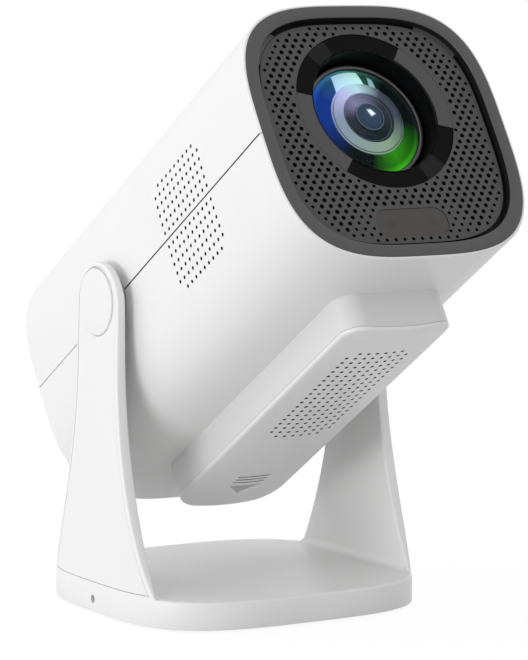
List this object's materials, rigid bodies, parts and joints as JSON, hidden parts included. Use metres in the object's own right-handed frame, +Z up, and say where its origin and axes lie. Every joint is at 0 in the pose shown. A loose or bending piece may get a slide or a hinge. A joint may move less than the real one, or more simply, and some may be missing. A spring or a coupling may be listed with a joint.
{
  "type": "video projector",
  "caption": "Portable lamp-style video projector: rounded-square tube with a front lens and grille, tilting in a U-shaped stand on a rounded base.",
  "frame": {"origin": "centre of the underside of the base's rubber pad, on the table", "axes": "+Z up, front of the projector towards -Y, +X to the right as seen from the front; the tilt axis is parallel to X, 126 mm above the table; stored with the head tilted up 32.3 degrees as pictured"},
  "size_m": [0.131, 0.2405, 0.2447],
  "materials": {
    "stand_white": "fine satin texture",
    "shell_white": "fine satin texture",
    "rear_grey": "fine satin texture",
    "frame_graphite": "satin",
    "grille_graphite": "fine matt texture",
    "gloss_black": "gloss",
    "matt_black": "matt",
    "window_maroon": "gloss",
    "dark_plastic": "matt",
    "foot_rubber": "matt",
    "screw_steel": "plated",
    "ballast_iron": "painted",
    "bush_acetal": "satin",
    "hub_metal": "machined",
    "washer_fibre": "matt",
    "board_green": "solder mask",
    "board_white": "white solder mask on aluminium",
    "socket_metal": "plated",
    "heatsink_metal": "extruded",
    "motor_metal": "plated",
    "gear_acetal": "satin",
    "optic_glass": "polished",
    "panel_glass": "polarised",
    "coated_glass": "blue-violet coating",
    "ring_metal": "anodised",
    "cell_cream": "satin",
    "speaker_black": "matt",
    "filter_foam": "open foam"
  },
  "bodies": {
    "stand": {"stand_yoke": "stand_white", "arm_cover_left": "stand_white", "arm_cover_right": "stand_white", "pivot_cap_left": "stand_white", "pivot_cap_right": "stand_white", "pivot_bushes": "bush_acetal", "base_plate": "dark_plastic", "base_ballast": "ballast_iron", "base_pad": "foot_rubber", "base_screws": "screw_steel", "ballast_grub_screws": "screw_steel"},
    "head": {"upper_shell": "shell_white", "lower_shell": "shell_white", "pivot_hubs": "hub_metal", "pivot_screws": "screw_steel", "friction_washers": "washer_fibre", "front_frame": "frame_graphite", "front_grille": "grille_graphite", "lens_collar": "grille_graphite", "collar_inlays": "gloss_black", "lens_hood": "matt_black", "af_window": "window_maroon", "af_sensor_board": "board_green", "rear_panel": "rear_grey", "rear_screws": "screw_steel", "hdmi_socket": "socket_metal", "usb_socket": "socket_metal", "audio_jack": "matt_black", "dc_inlet": "matt_black", "ir_window": "window_maroon", "button_switch": "matt_black", "main_board": "board_green", "driver_board": "board_green", "light_engine": "matt_black", "led_board": "board_white", "led_heatsink": "heatsink_metal", "led_fan_frame": "matt_black", "condenser_lens": "optic_glass", "heat_filter": "optic_glass", "fresnel_rear": "optic_glass", "lcd_panel": "panel_glass", "fresnel_front": "optic_glass", "focus_housing": "matt_black", "focus_motor": "motor_metal", "speaker_left": "speaker_black", "speaker_right": "speaker_black", "intake_fan_frame": "matt_black", "bottom_housing": "shell_white"},
    "focus_gear": {"focus_ring": "gear_acetal"},
    "lens": {"lens_barrel": "matt_black", "lens_ring": "ring_metal", "front_lens": "coated_glass", "inner_cell": "cell_cream", "rear_lens": "optic_glass"},
    "focus_drive": {"focus_pinion": "gear_acetal"},
    "led_fan": {"led_fan_impeller": "matt_black"},
    "intake_fan": {"intake_fan_impeller": "matt_black"},
    "power_key": {"power_button": "frame_graphite"},
    "cover": {"filter_cover": "shell_white", "dust_filter": "filter_foam"}
  },
  "joints": [
    {"name": "tilt", "type": "hinge", "parent": "stand", "child": "head", "pos_m": [0, 0, 0.126], "axis": [-1, 0, 0], "range_deg": [-52, 128]},
    {"name": "focus_turn", "type": "hinge", "parent": "head", "child": "focus_gear", "pos_m": [0, -0.06863, 0.18063], "axis": [0, -0.8453, 0.5344], "range_deg": [-60, 60]},
    {"name": "focus_slide", "type": "slide", "parent": "focus_gear", "child": "lens", "axis": [0, -0.8453, 0.5344], "range_m": [-0.003, 0.003]},
    {"name": "focus_pinion_spin", "type": "hinge", "parent": "head", "child": "focus_drive", "pos_m": [0, -0.08847, 0.14925], "axis": [0, -0.8453, 0.5344], "range_deg": [-384, 384]},
    {"name": "led_fan_spin", "type": "hinge", "parent": "head", "child": "led_fan", "pos_m": [0, 0.06526, 0.09598], "axis": [0, -0.8453, 0.5344], "continuous": true},
    {"name": "intake_fan_spin", "type": "hinge", "parent": "head", "child": "intake_fan", "pos_m": [0, -0.06599, 0.11743], "axis": [0, 0.5344, 0.8453], "continuous": true},
    {"name": "power_press", "type": "slide", "parent": "head", "child": "power_key", "axis": [0, -0.8453, 0.5344], "range_m": [0, 0.0007], "stiffness_N_per_m": 1500, "springref_m": -0.0005},
    {"name": "cover_slide", "type": "slide", "parent": "head", "child": "cover", "axis": [0, 0.8453, -0.5344], "range_m": [0, 0.012]}
  ],
  "couplings": [
    {"joint": "focus_turn", "follows": "focus_slide", "rad_per_m": 349.07},
    {"joint": "focus_pinion_spin", "follows": "focus_slide", "rad_per_m": -2234}
  ]
}
